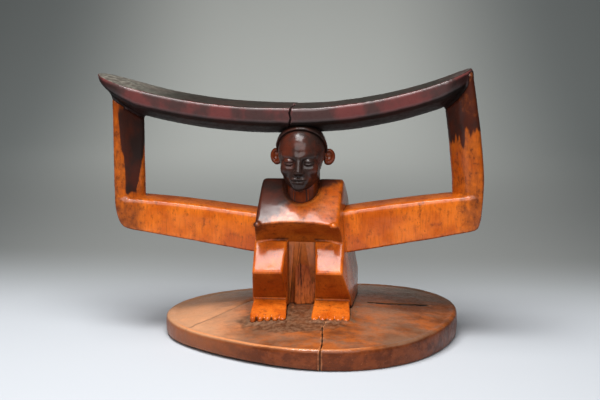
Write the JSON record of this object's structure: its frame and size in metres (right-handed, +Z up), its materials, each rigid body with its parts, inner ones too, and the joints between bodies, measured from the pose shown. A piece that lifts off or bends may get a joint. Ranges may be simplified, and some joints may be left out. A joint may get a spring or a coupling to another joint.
{
  "type": "carved headrest",
  "caption": "Carved wooden headrest: a seated figure on a domed round base holds up a long curved neck pillow with its head and two raised forearms.",
  "frame": {"origin": "on the flat underside of the base, below the figure's spine", "axes": "+Z up out of the base, +X along the pillow towards the end on the viewer's right, +Y from the figure's chest towards its back"},
  "size_m": [0.2236, 0.1561, 0.156],
  "materials": {
    "body_wood": "oiled and polished by handling, orange brown",
    "base_wood": "worn and dusty on top, redder at the rim",
    "pillow_wood": "dark glossy patina, red brown where rubbed",
    "head_wood": "dark glossy patina",
    "trunk_wood": "rough from the tool, matt"
  },
  "bodies": {
    "root": {"base": "base_wood", "pillow": "pillow_wood", "torso": "body_wood", "trunk": "trunk_wood", "left_leg": "body_wood", "right_leg": "body_wood", "left_foot": "body_wood", "right_foot": "body_wood", "left_arm": "body_wood", "right_arm": "body_wood", "left_forearm": "body_wood", "right_forearm": "body_wood", "neck": "head_wood", "head": "head_wood", "hair": "head_wood", "left_ear": "head_wood", "right_ear": "head_wood"}
  },
  "joints": []
}
